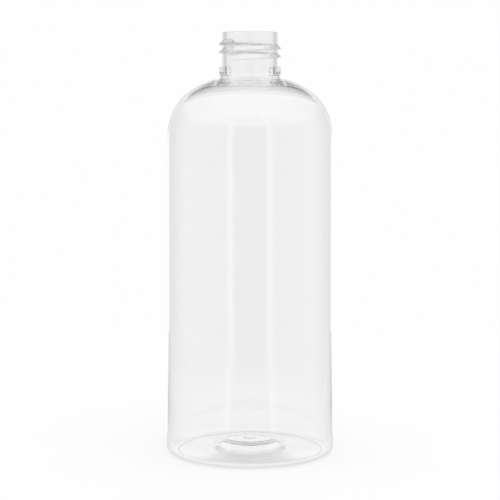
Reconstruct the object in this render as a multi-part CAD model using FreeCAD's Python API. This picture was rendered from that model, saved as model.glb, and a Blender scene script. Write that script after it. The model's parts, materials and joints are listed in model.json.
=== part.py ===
import FreeCAD, Part
import math
import os

# A clear blown bottle with a screw neck, standing on the ring of its base.
# Millimetres. The origin is the centre of the standing plane and +Z is the bottle's axis.
# The front, where the thread starts and ends, faces -Y. The two lugs of the neck are on +X and -X.

# Whole bottle: the body is widest above its heel and narrows by body_draft up to the shoulder
overall_height = 163.2
body_diameter = 64.7
body_draft = 0.55
body_wall = 0.65

# Neck finish, with depths measured down from the rim
neck_diameter = 21.5
neck_wall = 1.55
rim_edge_radius = 0.25
collar_depth = 16.1
collar_reach = 1.1
collar_edge_radius = 0.3

# Thread: one start, right-hand, a steep lower flank and a sloped upper flank
thread_height = 1.15
thread_pitch = 3.175
thread_start_depth = 4.05
thread_start_angle = 33.0
thread_turns = 2.06
thread_crest = 0.45
thread_upper_flank = 48.0
thread_lower_flank = 10.0
thread_nose_angle = 15.0
thread_fade_angle = 30.0
thread_end_height = 0.05
thread_section_step = 12.0

# Lugs on the collar, which stop the cap from turning back
lug_reach = 1.15
lug_height = 2.95
lug_sweep = 70.0
lug_edge_radius = 0.35

# How deep the feet of thread and lugs sit in the neck's wall, so that they grow out of it
neck_bite = 0.5

# Shoulder: a wide arc from the body into a shallow cone, which would meet the neck's side at
# shoulder_depth below the rim and runs out under the collar
shoulder_depth = 16.3
shoulder_slope = 22.4
shoulder_radius = 21.6
shoulder_wall = 0.8
bore_fillet = 3.0

# Heel: it stands a little proud of the body panel above it
heel_step = 0.4
heel_radius = 2.6
heel_band_height = 5.0
panel_edge_height = 9.0

# Base: a standing ring, a shallow dish and a stepped boss pushed up in the middle.
# The wall is as thin as the body's at the heel and a little thicker towards the middle.
ring_width = 1.95
ring_step = 0.15
dish_rise = 1.45
dish_wall = 0.8
boss_foot_diameter = 27.2
boss_foot_fillet = 6.5
boss_collar_diameter = 21.8
boss_collar_height = 4.2
boss_top_diameter = 17.8
boss_top_height = 4.6
boss_wall = 0.9
boss_side_wall = 0.4
inner_boss_fillet = 1.4
gate_diameter = 3.2
gate_drop = 0.5

body_radius = body_diameter / 2
body_top_radius = body_radius - body_draft
inner_radius = body_radius - body_wall
inner_top_radius = body_top_radius - body_wall
heel_reach = body_radius + heel_step
inner_heel_reach = heel_reach - body_wall
neck_radius = neck_diameter / 2
bore_radius = neck_radius - neck_wall
collar_radius = neck_radius + collar_reach
collar_top = overall_height - collar_depth
shoulder_top = overall_height - shoulder_depth
gate_height = boss_top_height - gate_drop
dish_height = ring_step + dish_rise
Z_AXIS = FreeCAD.Vector(0, 0, 1)
ORIGIN = FreeCAD.Vector(0, 0, 0)


def at(radius, height):
    """A point of an outline, in the plane that holds the axis and +X."""
    return FreeCAD.Vector(radius, 0, height)


def cone_height(radius):
    """The height of the shoulder's cone at a radius."""
    return shoulder_top - (radius - neck_radius) * math.tan(math.radians(shoulder_slope))


def rounded_line(corners):
    """Edges through corners (radius, height, fillet), where a fillet of 0 leaves a sharp corner."""
    edges = []
    start = at(corners[0][0], corners[0][1])
    for index in range(1, len(corners) - 1):
        before = at(corners[index - 1][0], corners[index - 1][1])
        corner = at(corners[index][0], corners[index][1])
        after = at(corners[index + 1][0], corners[index + 1][1])
        fillet = corners[index][2]
        if fillet == 0:
            edges.append(Part.LineSegment(start, corner).toShape())
            start = corner
            continue
        back = (before - corner).normalize()
        ahead = (after - corner).normalize()
        half = back.getAngle(ahead) / 2
        setback = fillet / math.tan(half)
        first = corner + back * setback
        last = corner + ahead * setback
        middle = corner + (back + ahead).normalize() * (fillet / math.sin(half) - fillet)
        edges.append(Part.LineSegment(start, first).toShape())
        edges.append(Part.Arc(first, middle, last).toShape())
        start = last
    edges.append(Part.LineSegment(start, at(corners[-1][0], corners[-1][1])).toShape())
    return edges


def turned(edges):
    """The solid that a closed outline sweeps round the axis."""
    wire = Part.Wire(Part.__sortEdges__(edges))
    return Part.Face(wire).revolve(ORIGIN, Z_AXIS, 360)


def outer_form():
    """The outside of the bottle, solid through, without thread and lugs."""
    ring_radius = heel_reach - heel_radius - ring_width
    outline = rounded_line([
        (0, gate_height, 0),
        (gate_diameter / 2, gate_height, 0),
        (gate_diameter / 2 + gate_drop, boss_top_height, 0),
        (boss_top_diameter / 2, boss_top_height, 0),
        (boss_collar_diameter / 2, boss_collar_height, 0),
        (boss_foot_diameter / 2, dish_height, boss_foot_fillet),
        (ring_radius - ring_step, ring_step, 0),
        (ring_radius, 0, 0),
        (heel_reach, 0, heel_radius),
        (heel_reach, heel_band_height, 0),
        (body_radius, panel_edge_height, 0),
        (body_top_radius, cone_height(body_top_radius), shoulder_radius),
        (collar_radius, cone_height(collar_radius), 0),
        (collar_radius, collar_top, collar_edge_radius),
        (neck_radius, collar_top, 0),
        (neck_radius, overall_height, rim_edge_radius),
        (0, overall_height, 0),
    ])
    axis = Part.LineSegment(at(0, overall_height), at(0, gate_height)).toShape()
    return turned(outline + [axis])


def cavity():
    """The inside of the bottle, up through the rim."""
    floor_height = boss_top_height + boss_wall
    cone_drop = shoulder_wall / math.cos(math.radians(shoulder_slope))
    above_rim = overall_height + neck_wall
    outline = rounded_line([
        (0, floor_height, 0),
        (boss_top_diameter / 2 + boss_side_wall, floor_height, 0),
        (boss_collar_diameter / 2 + boss_side_wall, boss_collar_height + boss_wall, inner_boss_fillet),
        (boss_foot_diameter / 2 + boss_side_wall, dish_height + dish_wall, boss_foot_fillet),
        (inner_heel_reach, body_wall, heel_radius - body_wall),
        (inner_heel_reach, heel_band_height, 0),
        (inner_radius, panel_edge_height, 0),
        (inner_top_radius, cone_height(inner_top_radius) - cone_drop, shoulder_radius - body_wall),
        (bore_radius, cone_height(bore_radius) - cone_drop, bore_fillet),
        (bore_radius, above_rim, 0),
        (0, above_rim, 0),
    ])
    axis = Part.LineSegment(at(0, above_rim), at(0, floor_height)).toShape()
    return turned(outline + [axis])


def thread_section(angle, depth, growth):
    """One cut through the thread: a trapezoid whose foot is sunk in the neck's wall.

    growth is 1 on the full thread and falls towards 0 where an end sinks into the neck.
    """
    foot_radius = neck_radius - neck_bite
    reach = thread_height + neck_bite
    upper = reach * math.tan(math.radians(thread_upper_flank))
    lower = reach * math.tan(math.radians(thread_lower_flank))
    crest_radius = neck_radius + thread_height * growth
    corners = [
        (foot_radius, (thread_crest / 2 + upper) * growth),
        (crest_radius, thread_crest / 2 * growth),
        (crest_radius, -thread_crest / 2 * growth),
        (foot_radius, -(thread_crest / 2 + lower) * growth),
    ]
    level = overall_height - depth
    turn = math.radians(angle)
    points = []
    for radius, rise in corners:
        points.append(FreeCAD.Vector(radius * math.cos(turn), radius * math.sin(turn), level + rise))
    return Part.makePolygon(points + [points[0]])


def thread():
    """The thread, from its round nose near the rim down to where it fades out."""
    full_angle = thread_turns * 360
    steps = round(full_angle / thread_section_step)
    places = [full_angle * index / steps for index in range(steps + 1)]
    sections = []
    for place in places:
        nose = min(1.0, place / thread_nose_angle)
        fade = min(1.0, (full_angle - place) / thread_fade_angle)
        nose_growth = math.sqrt(1 - (1 - nose) ** 2)
        fade_growth = math.sin(fade * math.pi / 2)
        growth = max(thread_end_height, min(nose_growth, fade_growth))
        depth = thread_start_depth + thread_pitch * place / 360
        sections.append(thread_section(-90 - thread_start_angle - place, depth, growth))
    return Part.makeLoft(sections, True, False)


def lug(middle_angle):
    """One lug: a block that follows the neck, with its outer edges rounded."""
    foot_radius = neck_radius - neck_bite
    outer_radius = neck_radius + lug_reach
    block = Part.makeCylinder(outer_radius, lug_height, at(0, collar_top), Z_AXIS, lug_sweep)
    outer = []
    for edge in block.Edges:
        middle = edge.valueAt((edge.FirstParameter + edge.LastParameter) / 2)
        if math.hypot(middle.x, middle.y) > outer_radius - lug_edge_radius:
            outer.append(edge)
    block = block.makeFillet(lug_edge_radius, outer)
    block = block.cut(Part.makeCylinder(foot_radius, lug_height, at(0, collar_top), Z_AXIS))
    block.rotate(ORIGIN, Z_AXIS, middle_angle - lug_sweep / 2)
    return block


bottle = outer_form().fuse([thread(), lug(0), lug(180)]).cut(cavity()).removeSplitter()

os.makedirs("parts", exist_ok=True)
bottle.exportStep("parts/bottle.step")
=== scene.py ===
import bpy
import json
import math
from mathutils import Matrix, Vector

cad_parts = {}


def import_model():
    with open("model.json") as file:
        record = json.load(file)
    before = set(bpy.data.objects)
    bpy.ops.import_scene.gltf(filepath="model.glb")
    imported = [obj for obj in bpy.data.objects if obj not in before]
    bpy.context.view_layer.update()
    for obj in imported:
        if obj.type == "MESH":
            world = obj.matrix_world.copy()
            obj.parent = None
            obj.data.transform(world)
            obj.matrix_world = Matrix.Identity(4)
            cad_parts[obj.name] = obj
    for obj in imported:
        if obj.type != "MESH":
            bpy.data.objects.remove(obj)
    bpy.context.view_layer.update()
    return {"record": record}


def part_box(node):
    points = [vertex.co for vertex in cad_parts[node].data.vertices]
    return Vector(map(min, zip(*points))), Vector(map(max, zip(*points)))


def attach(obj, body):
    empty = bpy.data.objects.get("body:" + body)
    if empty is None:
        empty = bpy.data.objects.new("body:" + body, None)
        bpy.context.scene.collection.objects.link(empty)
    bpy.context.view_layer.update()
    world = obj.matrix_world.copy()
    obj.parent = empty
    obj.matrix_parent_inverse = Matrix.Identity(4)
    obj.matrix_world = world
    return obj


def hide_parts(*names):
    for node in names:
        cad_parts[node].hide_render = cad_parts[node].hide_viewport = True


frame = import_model()

# The bottle is one clear blown piece. Its fine mesh here has the forms of the part's solid, with small
# edge roundings, a soft thread and a wall that swells at the bore's foot, so that light bends as it
# does in a real one. Sizes are in millimetres, unless a name or a comment says otherwise.

MM = 0.001
record = frame["record"]
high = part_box("bottle")[1]

# Sizes that the frame gives
overall_height = high.z / MM
bore_radius = record["mounts"][0]["dims"]["r_mm"]

# Body and shoulder
body_radius = 32.35
body_top_radius = 31.8
body_wall = 0.65
panel_edge_height = 9.0
panel_edge_fillet = 6.0
shoulder_top = overall_height - 16.3
shoulder_slope = 22.4
shoulder_radius = 21.6
shoulder_wall = 0.8
inner_shoulder_radius = 20.7

# Neck, where the wall grows by bore_foot_wall towards the bore's foot
neck_radius = 10.75
collar_radius = 11.85
collar_top = overall_height - 16.1
bore_foot_wall = 1.0
bore_fillet = 4.5
mouth_depth = 1.0

# Heel and standing ring
heel_reach = 32.75
heel_radius = 2.6
heel_band_height = 5.0
ring_radius = 28.2
ring_step = 0.15

# Dish and boss of the base
dish_height = 1.6
dish_wall = 0.8
boss_foot_radius = 13.6
boss_collar_radius = 10.9
boss_collar_height = 4.2
boss_top_radius = 8.9
boss_top_height = 4.6
boss_wall = 0.9
boss_side_wall = 0.4
gate_radius = 1.6
gate_drop = 0.5

# Fineness of the mesh: columns round the axis, degrees along an arc and length of a straight row.
# Edges that turn by more than SHARP_ANGLE degrees aren't shaded smooth.
MERIDIANS = 240
ARC_STEP = 8.0
ROW = 2.5
SHARP_ANGLE = 38


def cone_height(radius):
    """The height of the shoulder's cone at a radius."""
    return shoulder_top - (radius - neck_radius) * math.tan(math.radians(shoulder_slope))


def rounded(corners, arc_step=ARC_STEP, row=ROW):
    """Points through corners (radius, height, fillet), with rounded corners and long runs divided."""
    path = [Vector(corners[0][:2])]
    for before, corner, after in zip(corners, corners[1:], corners[2:]):
        here = Vector(corner[:2])
        back = (Vector(before[:2]) - here).normalized()
        ahead = (Vector(after[:2]) - here).normalized()
        half = back.angle(ahead) / 2
        fillet = corner[2]
        setback = fillet / math.tan(half)
        middle = here + (back + ahead).normalized() * (fillet / math.sin(half))
        first = here + back * setback - middle
        last = here + ahead * setback - middle
        sweep = first.angle_signed(last)
        count = max(2, math.ceil(abs(math.degrees(sweep)) / arc_step))
        for index in range(count + 1):
            turn = -sweep * index / count
            x = first.x * math.cos(turn) - first.y * math.sin(turn)
            y = first.x * math.sin(turn) + first.y * math.cos(turn)
            path.append(middle + Vector((x, y)))
    path.append(Vector(corners[-1][:2]))
    points = [path[0]]
    for point in path[1:]:
        start = points[-1]
        parts = max(1, math.ceil((point - start).length / row))
        for index in range(1, parts + 1):
            points.append(start.lerp(point, index / parts))
    return [(p.x, p.y) for p in points]


def outer_outline():
    """The outside, from the gate in the base's middle up to the rim and a little into the bore."""
    return rounded([
        (0.0, boss_top_height - gate_drop, 0),
        (gate_radius, boss_top_height - gate_drop, 0.2),
        (gate_radius + gate_drop, boss_top_height, 0.2),
        (boss_top_radius, boss_top_height, 2.0),
        (boss_collar_radius, boss_collar_height, 1.0),
        (boss_foot_radius, dish_height, 6.5),
        (ring_radius - ring_step, ring_step, 0.1),
        (ring_radius, 0.0, 0.1),
        (heel_reach, 0.0, heel_radius),
        (heel_reach, heel_band_height, panel_edge_fillet),
        (body_radius, panel_edge_height, panel_edge_fillet),
        (body_top_radius, cone_height(body_top_radius), shoulder_radius),
        (collar_radius, cone_height(collar_radius), 0.3),
        (collar_radius, collar_top, 0.55),
        (neck_radius, collar_top, 0.5),
        (neck_radius, overall_height, 0.25),
        (bore_radius, overall_height, 0.2),
        (bore_radius, overall_height - mouth_depth, 0),
    ])


def inner_outline():
    """The inside, from the bore below the rim down to the middle of the floor."""
    drop = shoulder_wall / math.cos(math.radians(shoulder_slope))
    panel = body_radius - body_wall
    panel_top = body_top_radius - body_wall
    heel = heel_reach - body_wall
    return rounded([
        (bore_radius, overall_height - mouth_depth, 0),
        (bore_radius, cone_height(bore_radius) - drop - bore_foot_wall, bore_fillet),
        (panel_top, cone_height(panel_top) - drop, inner_shoulder_radius),
        (panel, panel_edge_height, panel_edge_fillet),
        (heel, heel_band_height, panel_edge_fillet),
        (heel, body_wall, heel_radius - body_wall),
        (boss_foot_radius + boss_side_wall, dish_height + dish_wall, 5.6),
        (boss_collar_radius + boss_side_wall, boss_collar_height + boss_wall, 1.9),
        (boss_top_radius + boss_side_wall, boss_top_height + boss_wall, 2.0),
        (0.0, boss_top_height + boss_wall, 0),
    ])


def add_object(name, data):
    made = bpy.data.objects.new(name, data)
    bpy.context.scene.collection.objects.link(made)
    return made


def add_mesh(name, vertices, faces):
    mesh = bpy.data.meshes.new(name)
    mesh.from_pydata(vertices, [], faces)
    mesh.validate()
    mesh.update()
    return add_object(name, mesh)


def polar(radius, angle, height):
    """A point in metres, from a radius and a height in millimetres and an angle in degrees."""
    turn = math.radians(angle)
    return (radius * MM * math.cos(turn), radius * MM * math.sin(turn), height * MM)


def lathe(name, outline):
    """A closed mesh that an outline sweeps round the axis; its first and last points lie on the axis."""
    vertices = [(0.0, 0.0, outline[0][1] * MM)]
    for radius, height in outline[1:-1]:
        vertices += [polar(radius, 360 * index / MERIDIANS, height) for index in range(MERIDIANS)]
    vertices.append((0.0, 0.0, outline[-1][1] * MM))
    last = len(vertices) - 1
    last_ring = last - MERIDIANS
    rings = len(outline) - 2
    faces = []
    for index in range(MERIDIANS):
        after = (index + 1) % MERIDIANS
        faces.append((0, 1 + after, 1 + index))
        faces.append((last, last_ring + index, last_ring + after))
        for ring in range(rings - 1):
            lower = 1 + ring * MERIDIANS
            upper = lower + MERIDIANS
            faces.append((lower + index, lower + after, upper + after, upper + index))
    return add_mesh(name, vertices, faces)


def swept(name, sections):
    """A closed mesh through a row of equal-sized loops of points, with flat ends."""
    size = len(sections[0])
    vertices = [point for section in sections for point in section]
    faces = [tuple(range(size))[::-1], tuple(range(len(vertices) - size, len(vertices)))]
    for row in range(len(sections) - 1):
        near = row * size
        far = near + size
        for index in range(size):
            after = (index + 1) % size
            faces.append((near + index, near + after, far + after, far + index))
    return add_mesh(name, vertices, faces)


THREAD_HEIGHT = 1.15
THREAD_PITCH = 3.175
THREAD_START_DEPTH = 4.05
THREAD_START_ANGLE = 33.0
THREAD_TURNS = 2.06
THREAD_CREST = 0.45
THREAD_UPPER_FLANK = 48.0
THREAD_LOWER_FLANK = 10.0
THREAD_NOSE_ANGLE = 15.0
THREAD_FADE_ANGLE = 30.0
THREAD_END_HEIGHT = 0.05
THREAD_BITE = 0.35
THREAD_SECTION_STEP = 2.0


def thread():
    """The thread, swept along its helix with a round crest and soft feet, from its nose to its fade."""
    full = THREAD_TURNS * 360
    steps = round(full / THREAD_SECTION_STEP)
    half = THREAD_CREST / 2
    top = half + THREAD_HEIGHT * math.tan(math.radians(THREAD_UPPER_FLANK))
    foot = half + THREAD_HEIGHT * math.tan(math.radians(THREAD_LOWER_FLANK))
    profile = rounded([
        (-THREAD_BITE, top + 0.4, 0),
        (0.0, top, 0.8),
        (THREAD_HEIGHT, half, 0.3),
        (THREAD_HEIGHT, -half, 0.16),
        (0.0, -foot, 0.22),
        (-THREAD_BITE, -foot - 0.2, 0),
    ], arc_step=15.0, row=9.0)
    sections = []
    for index in range(steps + 1):
        place = full * index / steps
        nose = min(1.0, place / THREAD_NOSE_ANGLE)
        fade = min(1.0, (full - place) / THREAD_FADE_ANGLE)
        grown = min(math.sqrt(1 - (1 - nose) ** 2), math.sin(fade * math.pi / 2))
        growth = max(THREAD_END_HEIGHT, grown)
        angle = -90 - THREAD_START_ANGLE - place
        level = overall_height - THREAD_START_DEPTH - THREAD_PITCH * place / 360
        section = []
        for rise, offset in profile:
            radius = neck_radius + (rise * growth if rise > 0 else rise)
            section.append(polar(radius, angle, level + offset * growth))
        sections.append(section)
    return swept("thread", sections)


LUG_SWEEP = 70.0
LUG_HEIGHT = 2.95
LUG_REACH = 1.15
LUG_EDGE = 0.35
LUG_BITE = 0.5
LUG_SECTIONS = 34


def lug(middle):
    """One lug: a block that follows the neck, with rounded outer edges and a foot sunk in the neck."""
    outer = neck_radius + LUG_REACH
    foot_radius = neck_radius - LUG_BITE
    end = math.degrees(LUG_EDGE / outer)
    half = LUG_SWEEP / 2
    between = LUG_SWEEP - 2 * end
    rounding = [end * (1 - math.cos(math.radians(a))) for a in (0, 22.5, 45, 67.5, 90)]
    angles = [-half + r for r in rounding]
    angles += [-half + end + between * index / LUG_SECTIONS for index in range(1, LUG_SECTIONS)]
    angles += [half - r for r in rounding[::-1]]
    sections = []
    for angle in angles:
        near = min(1.0, min(angle + half, half - angle) / end)
        inset = LUG_EDGE * (1 - math.sqrt(max(0.0, 1 - (1 - near) ** 2)))
        floor_height = collar_top + inset
        top = collar_top + LUG_HEIGHT - inset
        face = outer - inset - LUG_EDGE
        lower_edge = (floor_height + LUG_EDGE, (-90, -60, -30, 0))
        upper_edge = (top - LUG_EDGE, (0, 30, 60, 90))
        section = [(foot_radius, floor_height)]
        for level, bows in (lower_edge, upper_edge):
            for bow in bows:
                turn = math.radians(bow)
                section.append((face + LUG_EDGE * math.cos(turn), level + LUG_EDGE * math.sin(turn)))
        section.append((foot_radius, top))
        sections.append([polar(radius, middle + angle, height) for radius, height in section])
    return swept("lug", sections)


def join(body, parts):
    """Fuses the parts with the body by exact Booleans, so that one closed skin is left."""
    for part in parts:
        union = body.modifiers.new("join", "BOOLEAN")
        union.operation = "UNION"
        union.solver = "EXACT"
        union.object = part
    bpy.context.view_layer.update()
    depsgraph = bpy.context.evaluated_depsgraph_get()
    mesh = bpy.data.meshes.new_from_object(body.evaluated_get(depsgraph))
    body.modifiers.clear()
    body.data = mesh
    for part in parts:
        bpy.data.objects.remove(part)
    for face in mesh.polygons:
        face.use_smooth = True
    mesh.set_sharp_from_angle(angle=math.radians(SHARP_ANGLE))


def node(tree, kind, **values):
    made = tree.nodes.new(kind)
    for name, value in values.items():
        setattr(made, name, value)
    return made


def feed(tree, socket, value):
    """Gives a socket a plain number, or links it to another socket."""
    if isinstance(value, (int, float)):
        socket.default_value = value
    else:
        tree.links.new(value, socket)


def math_node(tree, operation, *values):
    """A math node on sockets or plain numbers; returns its result socket."""
    made = node(tree, "ShaderNodeMath", operation=operation)
    for socket, value in zip(made.inputs, values):
        feed(tree, socket, value)
    return made.outputs["Value"]


def smooth_step(tree, value, start, end):
    """0 before start, 1 after end and a soft step between."""
    made = node(tree, "ShaderNodeMapRange", interpolation_type="SMOOTHSTEP")
    feed(tree, made.inputs["Value"], value)
    made.inputs["From Min"].default_value = start
    made.inputs["From Max"].default_value = end
    return made.outputs["Result"]


def blend(tree, share, first, second):
    """first where share is 0 and second where it is 1."""
    made = node(tree, "ShaderNodeMix", data_type="FLOAT")
    for name, value in (("Factor", share), ("A", first), ("B", second)):
        feed(tree, made.inputs[name], value)
    return made.outputs["Result"]


def coordinates(tree, kind):
    """A texture coordinate's socket, and the sockets of its x, y and z."""
    place = node(tree, "ShaderNodeTexCoord").outputs[kind]
    split = node(tree, "ShaderNodeSeparateXYZ")
    tree.links.new(place, split.inputs[0])
    return place, list(split.outputs)


def new_material(name):
    """A new material with its node tree and its surface shader."""
    material = bpy.data.materials.new(name)
    material.use_nodes = True
    tree = material.node_tree
    return material, tree, tree.nodes["Principled BSDF"]


HAZE_SCALE = 90.0
HAZE_DETAIL = 3.0
ROUGHNESS_LOW = 0.01
ROUGHNESS_HIGH = 0.04
NECK_ROUGHNESS = 0.1
NECK_BLEND = 1.0


def clear_pet():
    """Clear colourless plastic: glassy where it was blown, and a little softer on the moulded neck."""
    material, tree, shader = new_material("clear_pet")
    shader.inputs["Base Color"].default_value = (0.992, 0.992, 0.992, 1)
    shader.inputs["IOR"].default_value = 1.57
    shader.inputs["Transmission Weight"].default_value = 1.0
    place, (_, _, z) = coordinates(tree, "Object")
    haze = node(tree, "ShaderNodeTexNoise")
    haze.inputs["Scale"].default_value = HAZE_SCALE
    haze.inputs["Detail"].default_value = HAZE_DETAIL
    tree.links.new(place, haze.inputs["Vector"])
    spread = node(tree, "ShaderNodeMapRange")
    spread.inputs["To Min"].default_value = ROUGHNESS_LOW
    spread.inputs["To Max"].default_value = ROUGHNESS_HIGH
    tree.links.new(haze.outputs["Fac"], spread.inputs["Value"])
    neck = smooth_step(tree, z, collar_top * MM, (collar_top + NECK_BLEND) * MM)
    moulded = math_node(tree, "MULTIPLY", neck, NECK_ROUGHNESS)
    rough = math_node(tree, "ADD", spread.outputs["Result"], moulded)
    tree.links.new(rough, shader.inputs["Roughness"])
    return material


bottle = lathe("bottle_blown", outer_outline()[:-1] + inner_outline())
join(bottle, [thread(), lug(0), lug(180)])
bottle.data.materials.clear()
bottle.data.materials.append(clear_pet())
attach(bottle, "root")
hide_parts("bottle")


# The studio that reflections and bent rays see. Brightness 1 is white.
WHITE = 0.991
ROOM_BACK = 1.0
ROOM_SIDE = 0.62
ROOM_FRONT = 0.38
ROOM_GAP = 0.22
ROOM_STRIP = 0.62
ROOM_HIGH = 0.88
ROOM_DARK = 0.04
ROOM_DIM = 0.6
PLAIN_LIGHT = 1.1

# Where one zone of the room's walls turns into the next, in degrees away from straight behind
BACK_TO_SIDE = (20, 34)
SIDE_TO_FRONT = (70, 130)
STRIP_START = (145, 150)
STRIP_END = (158, 155)
GAP_START = (155, 158)

# The walls' upper edge, by the height of a direction of length 1
WALL_TOP = (0.34, 0.46)

# The dark opening behind, on a plane 1 behind the eye: its half width, half height and middle height,
# how softly its oval ends, and its straight lower edge
OPENING_HALF_WIDTH = 0.88
OPENING_HALF_HEIGHT = 1.7
OPENING_MIDDLE = 1.85
OPENING_EDGE = (1.06, 0.92)
OPENING_SILL = (0.36, 0.49)
NEAREST_BEHIND = 0.02


def room_low(tree, x, y):
    """What reflections see near the horizon: a white wall behind, dimmer sides and a dim front.

    In front, two pale uprights stand beside the gap that the camera looks through.
    """
    off_back = math_node(tree, "ABSOLUTE", math_node(tree, "ARCTAN2", x, y))

    def past(zone):
        return smooth_step(tree, off_back, math.radians(zone[0]), math.radians(zone[1]))

    side = blend(tree, past(BACK_TO_SIDE), ROOM_BACK, ROOM_SIDE)
    front = blend(tree, past(SIDE_TO_FRONT), side, ROOM_FRONT)
    strip = math_node(tree, "MULTIPLY", past(STRIP_START), past(STRIP_END))
    lit = blend(tree, strip, front, ROOM_STRIP)
    return blend(tree, past(GAP_START), lit, ROOM_GAP)


def squares(tree, first, second):
    """The sum of two squares."""
    return math_node(
        tree, "ADD", math_node(tree, "MULTIPLY", first, first), math_node(tree, "MULTIPLY", second, second))


def room(tree, direction):
    """What reflections see in a direction (x, y, z), and how much of it lies in the dark opening.

    Above the walls the room is bright, but for an oval opening behind, over the white wall.
    """
    x, y, z = direction
    low = room_low(tree, x, y)
    behind = math_node(tree, "MAXIMUM", y, NEAREST_BEHIND)
    across = math_node(tree, "DIVIDE", math_node(tree, "DIVIDE", x, behind), OPENING_HALF_WIDTH)
    rise = math_node(tree, "DIVIDE", z, behind)
    above_middle = math_node(tree, "SUBTRACT", rise, OPENING_MIDDLE)
    up = math_node(tree, "DIVIDE", above_middle, OPENING_HALF_HEIGHT)
    oval = smooth_step(tree, squares(tree, across, up), *OPENING_EDGE)
    dark = math_node(tree, "MULTIPLY", oval, smooth_step(tree, rise, *OPENING_SILL))
    high_room = blend(tree, smooth_step(tree, z, *WALL_TOP), low, ROOM_HIGH)
    return blend(tree, dark, high_room, ROOM_DARK), dark


def ray_kinds(tree):
    """Three sockets: 1 for camera rays, 1 for every ray but light on a dull surface, and 1 for rays
    that were reflected at least once."""
    path = node(tree, "ShaderNodeLightPath")
    from_camera = path.outputs["Is Camera Ray"]
    bent = math_node(tree, "MAXIMUM", path.outputs["Is Glossy Ray"], path.outputs["Is Transmission Ray"])
    seen = math_node(tree, "MAXIMUM", from_camera, bent)
    mirrored = math_node(tree, "MINIMUM", path.outputs["Glossy Depth"], 1.0)
    return from_camera, seen, mirrored


def world():
    """White where the camera looks and where light passes straight through; reflections see a room."""
    made = bpy.data.worlds.new("studio")
    bpy.context.scene.world = made
    made.use_nodes = True
    tree = made.node_tree
    background = tree.nodes["Background"]
    background.inputs["Color"].default_value = (1, 1, 1, 1)
    from_camera, seen, mirrored = ray_kinds(tree)
    reflected, dark = room(tree, coordinates(tree, "Generated")[1])
    through = blend(tree, dark, WHITE, ROOM_DIM)
    bent = blend(tree, mirrored, through, reflected)
    shown = blend(tree, from_camera, bent, WHITE)
    tree.links.new(blend(tree, seen, PLAIN_LIGHT, shown), background.inputs["Strength"])


# The floor in metres. Mirrored rays see it pale near the bottle's foot, and like the walls farther out.
FLOOR_RADIUS = 0.32
FLOOR_CORNERS = 48
FLOOR_RIM = (0.45 * FLOOR_RADIUS, 0.9 * FLOOR_RADIUS)
FLOOR_CLEAN = 0.8
FOOT_GLOW = 0.78
FOOT_GLOW_ZONE = (0.045, 0.12)


def floor():
    """A pale round floor whose rim runs into the white of the backdrop."""
    vertices = [(0.0, 0.0, 0.0)]
    faces = []
    for index in range(FLOOR_CORNERS):
        vertices.append(polar(FLOOR_RADIUS / MM, 360 * index / FLOOR_CORNERS, 0.0))
        faces.append((0, 1 + index, 1 + (index + 1) % FLOOR_CORNERS))
    piece = add_mesh("floor", vertices, faces)
    material, tree, shader = new_material("floor")
    shader.inputs["Base Color"].default_value = (0.9, 0.9, 0.9, 1)
    shader.inputs["Roughness"].default_value = 1.0
    shader.inputs["Specular IOR Level"].default_value = 0.0
    from_camera, seen, mirrored = ray_kinds(tree)
    x, y, _ = coordinates(tree, "Object")[1]
    reach = math_node(tree, "SQRT", squares(tree, x, y))
    away = smooth_step(tree, reach, *FOOT_GLOW_ZONE)
    reflected = blend(tree, away, FOOT_GLOW, room_low(tree, x, y))
    glow = node(tree, "ShaderNodeEmission")
    tree.links.new(blend(tree, mirrored, WHITE, reflected), glow.inputs["Strength"])
    rim = smooth_step(tree, reach, *FLOOR_RIM)
    clean = blend(tree, from_camera, 1.0, blend(tree, rim, FLOOR_CLEAN, 1.0))
    mix = node(tree, "ShaderNodeMixShader")
    tree.links.new(math_node(tree, "MULTIPLY", seen, clean), mix.inputs[0])
    tree.links.new(shader.outputs[0], mix.inputs[1])
    tree.links.new(glow.outputs[0], mix.inputs[2])
    tree.links.new(mix.outputs[0], tree.nodes["Material Output"].inputs["Surface"])
    piece.data.materials.append(material)


def softbox(name, place, aim, width, height, radiance):
    """A rectangular lamp whose face has the given brightness, where 1 is white."""
    lamp = bpy.data.lights.new(name, "AREA")
    lamp.shape = "RECTANGLE"
    lamp.size = width
    lamp.size_y = height
    lamp.energy = radiance * math.pi * width * height
    holder = add_object(name, lamp)
    holder.location = place
    holder.rotation_mode = "QUATERNION"
    holder.rotation_quaternion = (Vector(aim) - Vector(place)).to_track_quat("-Z", "Y")
    holder.visible_glossy = False
    holder.visible_transmission = False


def camera():
    """The photograph's view: 22 mm below the rim's level, 594 mm in front of the axis."""
    distance, level, pitch = 0.594, 0.1412, 5.951
    frame_px, focal_px, sensor = 500, 1534.6, 36.0
    data = bpy.data.cameras.new("camera")
    data.sensor_width = sensor
    data.lens = sensor * focal_px / frame_px
    holder = add_object("camera", data)
    holder.location = (0, -distance, level)
    holder.rotation_euler = (math.radians(90 - pitch), 0, 0)
    bpy.context.scene.camera = holder


floor()
world()
softbox("overhead", place=(0.3, -0.5, 1.0), aim=(0, 0, 0.05), width=0.8, height=0.8, radiance=0.8)
camera()

# Light runs a long way inside a clear wall. With fewer bounces its thick places turn black.
BOUNCES = 96
cycles = bpy.context.scene.cycles
cycles.max_bounces = BOUNCES
cycles.transmission_bounces = BOUNCES
cycles.glossy_bounces = BOUNCES
bpy.context.scene.view_settings.view_transform = "Standard"
